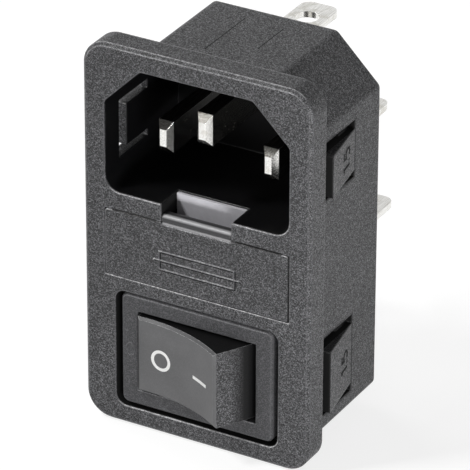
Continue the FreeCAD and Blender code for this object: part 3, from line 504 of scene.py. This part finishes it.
# marks: raised or printed strokes, and dark strokes of painted shade, that follow the face under
# them, with sizes in mm
rayStart = 30       # how far in front of a face the search for it begins
leastMitre = 0.4    # keeps the corners of a stroke from reaching far out


def faceOf(name, origin, across, up):
    mesh = nodes[name].data
    surface = BVHTree.FromPolygons([vertex.co for vertex in mesh.vertices],
                                   [face.vertices[:] for face in mesh.polygons])
    across, up = Vector(across), Vector(up)
    outward = across.cross(up)

    def onFace(a, b, height):
        start = (Vector(origin) + across * a + up * b + outward * rayStart) * mm
        hit = surface.ray_cast(start, -outward)[0]
        return hit + outward * height * mm
    return onFace


def sideways(points, index, closed):
    # the direction across a stroke at one of its points, longer where the stroke turns
    last = len(points) - 1
    here = Vector(points[index])
    before = Vector(points[index - 1]) if index or closed else here
    after = Vector(points[(index + 1) % len(points)]) if index < last or closed else here
    steps = [step.normalized() for step in (here - before, after - here) if step.length > 0]
    along = sum(steps, Vector((0, 0))).normalized()
    return Vector((-along.y, along.x)) / max(along.dot(steps[0]), leastMitre)


def layStrokes(name, onFace, strokes, section, finish, body):
    work = bmesh.new()
    for points, closed in strokes:
        rings = []
        for index, point in enumerate(points):
            side = sideways(points, index, closed)
            rings.append([work.verts.new(onFace(point[0] + side.x * offset,
                                                point[1] + side.y * offset, height))
                          for offset, height in section])
        for index in range(len(rings) if closed else len(rings) - 1):
            one, two = rings[index], rings[(index + 1) % len(rings)]
            for low in range(len(section)):
                high = (low + 1) % len(section)
                work.faces.new((one[low], one[high], two[high], two[low]))
        if not closed:
            work.faces.new(rings[0])
            work.faces.new(rings[-1][::-1])
    bmesh.ops.recalc_face_normals(work, faces=work.faces)
    mesh = bpy.data.meshes.new(name)
    work.to_mesh(mesh)
    work.free()
    mesh.materials.append(finish)
    piece = bpy.data.objects.new(name, mesh)
    bpy.context.scene.collection.objects.link(piece)
    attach(piece, body)


def flatSection(width, height, sink=0.03):
    return [(-width / 2, -sink), (-width / 2, height), (width / 2, height), (width / 2, -sink)]


def ridgeSection(width, height, sink=0.03):
    half = width / 2
    return [(-half, -sink), (-half, 0), (-half / 2, height), (half / 2, height), (half, 0),
            (half, -sink)]


def oval(centre, halfWide, halfHigh, count=40):
    turns = [2 * math.pi * index / count for index in range(count)]
    return [(centre[0] + halfWide * math.cos(turn), centre[1] + halfHigh * math.sin(turn))
            for turn in turns], True


def straight(start, end, count=10):
    a, b = Vector(start), Vector(end)
    return [tuple(a.lerp(b, index / count)) for index in range(count + 1)], False


# the rocker's printed O and I, on the dished face
rockerJoint = next(joint for joint in frame["record"]["behaviour"]["joints"]
                   if joint["name"] == "rocker_tilt")
rockerMarks = {"ring": (-3.2, 0.0), "ringRadius": 1.175, "ringWidth": 0.40,
               "bar": ((1.95, -0.12), (4.5, -0.28)), "barWidth": 0.42, "raised": 0.015}
tilt = -math.radians(rockerJoint["range_deg"][1] / 2)
pivot = [value / mm for value in rockerJoint["pos_m"]]
dishFace = faceOf("rocker", pivot, (math.cos(tilt), math.sin(tilt), 0), (0, 0, 1))
layStrokes("printed_ring", dishFace, [oval(rockerMarks["ring"], rockerMarks["ringRadius"],
           rockerMarks["ringRadius"])], flatSection(rockerMarks["ringWidth"],
           rockerMarks["raised"]), printFinish, "rocker")
layStrokes("printed_bar", dishFace, [straight(*rockerMarks["bar"])],
           flatSection(rockerMarks["barWidth"], rockerMarks["raised"]), printFinish, "rocker")

# the same two signs, moulded faintly on the bezel
bezelMarks = {"oval": (-9.0, -14.6), "ovalHalf": (0.58, 0.85), "bar": ((9.02, -13.75),
              (9.02, -15.6)), "width": 0.2, "raised": 0.07}
bezelFace = faceOf("switch_frame", (0, 0, 0), (1, 0, 0), (0, 0, 1))
layStrokes("bezel_signs", bezelFace, [oval(bezelMarks["oval"], *bezelMarks["ovalHalf"]),
           straight(*bezelMarks["bar"], 2)], ridgeSection(bezelMarks["width"],
           bezelMarks["raised"]), frameFinish, "case")

# a fuse symbol in raised lines on the drawer: a long box with a wire through it, and flat dark
# strokes at its foot that are its painted shadow
fuseSign = {"low": (-4.97, -2.64), "high": (5.06, -0.28), "wire": ((-5.75, -1.47), (5.82, -1.47)),
            "width": 0.22, "raised": 0.10, "foot": 0.14, "footWidth": 0.2, "footRaised": 0.012}
(left, bottom), (right, top) = fuseSign["low"], fuseSign["high"]
drawerFace = faceOf("fuse_drawer", (0, 0, 0), (1, 0, 0), (0, 0, 1))
signStrokes = [([(left, bottom), (right, bottom), (right, top), (left, top)], True),
               straight(*fuseSign["wire"], 2)]
paintedShadowStrokes = [([(x + fuseSign["foot"], y - fuseSign["foot"]) for x, y in points], closed)
               for points, closed in signStrokes]
layStrokes("fuse_symbol_painted_shadow", drawerFace, paintedShadowStrokes, flatSection(
    fuseSign["footWidth"], fuseSign["footRaised"]), paintedShadeFinish, "drawer")
layStrokes("fuse_symbol", drawerFace, signStrokes, ridgeSection(
    fuseSign["width"], fuseSign["raised"]), drawerFinish, "drawer")

# the panel thickness 1.5 on each tongue of the right side, read upwards: flat dark strokes that lie
# on the face, painted shade that stands for sunk ones
thicknessMarks = {"upper": (6.5, 12.2), "lower": (6.87, -14.95), "width": 0.34, "raised": 0.02}
numberStrokes = [([(-1.33, 0.78), (-0.93, 0.95), (-0.93, 0.0), (-0.93, -0.98)], False),
                 ([(-0.27, -0.72), (-0.27, -0.98)], False),
                 ([(1.2, 0.92), (0.36, 0.92), (0.28, 0.16), (0.68, 0.32), (1.14, 0.16),
                   (1.40, -0.32), (1.25, -0.80), (0.80, -1.0), (0.35, -0.86)], False)]
for where in ("upper", "lower"):
    depth, level = thicknessMarks[where]
    tongueFace = faceOf("housing", (0, depth, level), (0, 0, 1), (0, -1, 0))
    layStrokes(where + "_tongue_number", tongueFace, numberStrokes, flatSection(
        thicknessMarks["width"], thicknessMarks["raised"]), paintedShadeFinish, "case")
print("marks laid on the rocker, bezel, drawer and tongues")


# floor, light and camera
stageLook = {"floorSize": 3.0, "floorGap": 0.1, "floorColour": (0.64, 0.64, 0.64, 1),
             "worldFill": 0.16, "ceiling": 0.15, "ceilingFade": (0.34, 0.8),
             "shadowShare": 0.30, "shadowCloud": 1.03, "glow": 0.80}


def anySeenRay(tree):
    rays = addNode(tree, "ShaderNodeLightPath").outputs
    return doMath(tree, "MAXIMUM", rays["Is Camera Ray"], doMath(
        tree, "MAXIMUM", rays["Is Glossy Ray"], rays["Is Transmission Ray"]))


def makeFloor():
    # the camera and reflections see a glowing floor with a soft shadow, other rays a plain one
    size, low = stageLook["floorSize"], cadBox[0][2] - stageLook["floorGap"] * mm
    mesh = bpy.data.meshes.new("floor")
    corners = [(-size, -size, low), (size, -size, low), (size, size, low), (-size, size, low)]
    mesh.from_pydata(corners, [], [(0, 1, 2, 3)])
    floor = bpy.data.objects.new("floor", mesh)
    bpy.context.scene.collection.objects.link(floor)
    material = bpy.data.materials.new("floorPaper")
    material.use_nodes = True
    tree = material.node_tree
    tree.nodes.remove(tree.nodes["Principled BSDF"])
    share = stageLook["shadowShare"]
    cloud = useGroup(tree, cloudGroup, Size_mm=40.0)["Cloud"]
    pale = share * stageLook["shadowCloud"]
    colour = mixColour(tree, cloud, (share, share, share, 1), (pale, pale, pale, 1))
    lit = addNode(tree, "ShaderNodeBsdfDiffuse", {"Color": colour}).outputs[0]
    glow = addNode(tree, "ShaderNodeEmission", {"Strength": stageLook["glow"]}).outputs[0]
    both = addNode(tree, "ShaderNodeAddShader", {0: lit, 1: glow}).outputs[0]
    plain = addNode(tree, "ShaderNodeBsdfDiffuse", {"Color": stageLook["floorColour"]}).outputs[0]
    mixed = addNode(tree, "ShaderNodeMixShader", {0: anySeenRay(tree), 1: plain, 2: both})
    tree.links.new(mixed.outputs[0], tree.nodes["Material Output"].inputs["Surface"])
    mesh.materials.append(material)


def makeWorld():
    world = bpy.data.worlds.new("studio")
    bpy.context.scene.world = world
    world.use_nodes = True
    tree = world.node_tree
    # plain white for the camera, and for reflections and glass a white room with a dark ceiling
    toward = addNode(tree, "ShaderNodeTexCoord").outputs["Generated"]
    height = addNode(tree, "ShaderNodeSeparateXYZ", {0: toward}).outputs[2]
    low, high = stageLook["ceilingFade"]
    shown = remap(tree, height, low, high, 1.0, stageLook["ceiling"])
    camera = addNode(tree, "ShaderNodeLightPath").outputs["Is Camera Ray"]
    shown = doMath(tree, "MAXIMUM", shown, camera)
    strength = mixValue(tree, anySeenRay(tree), stageLook["worldFill"], shown)
    back = tree.nodes["Background"]
    back.inputs["Color"].default_value = (1, 1, 1, 1)
    tree.links.new(strength, back.inputs["Strength"])


def addSoftbox(name, place, size, energy):
    light = bpy.data.lights.new(name, "AREA")
    light.shape = "RECTANGLE"
    light.size, light.size_y = size
    light.energy = energy
    lamp = bpy.data.objects.new(name, light)
    lamp.location = place
    lamp.visible_camera = False
    lamp.rotation_euler = (-Vector(place)).to_track_quat("-Z", "Y").to_euler()
    bpy.context.scene.collection.objects.link(lamp)


lampLook = {
    "keyLight": {"place": (-0.45, -0.40, 0.84), "size": (0.17, 0.17), "energy": 5.3},
    "sideLight": {"place": (0.100, -0.10, -0.012), "size": (0.08, 0.02), "energy": 0.145},
    "topLight": {"place": (-0.65, 0.25, 0.70), "size": (0.4, 0.4), "energy": 2.65}}
cameraLook = {"azimuth": 29.369, "elevation": 28.193, "roll": -0.203, "distance": 0.5383,
              "target": (0.00293, 0.00064, 0.00206), "sensor": 36.0, "lens": 354.04,
              "clip": (0.01, 20)}


def makeCamera():
    azimuth = math.radians(cameraLook["azimuth"])
    elevation = math.radians(cameraLook["elevation"])
    level = math.cos(elevation)
    back = Vector((math.sin(azimuth) * level, -math.cos(azimuth) * level, math.sin(elevation)))
    data = bpy.data.cameras.new("camera")
    data.sensor_width, data.lens = cameraLook["sensor"], cameraLook["lens"]
    data.clip_start, data.clip_end = cameraLook["clip"]
    camera = bpy.data.objects.new("camera", data)
    turn = back.to_track_quat("Z", "Y") @ Matrix.Rotation(
        math.radians(-cameraLook["roll"]), 3, "Z").to_quaternion()
    camera.rotation_mode = "QUATERNION"
    camera.rotation_quaternion = turn
    camera.location = Vector(cameraLook["target"]) + back * cameraLook["distance"]
    bpy.context.scene.collection.objects.link(camera)
    bpy.context.scene.camera = camera


makeFloor()
makeWorld()
for name, look in lampLook.items():
    addSoftbox(name, look["place"], look["size"], look["energy"])
makeCamera()
bpy.context.scene.view_settings.view_transform = "Standard"
print("stage, light and camera made")
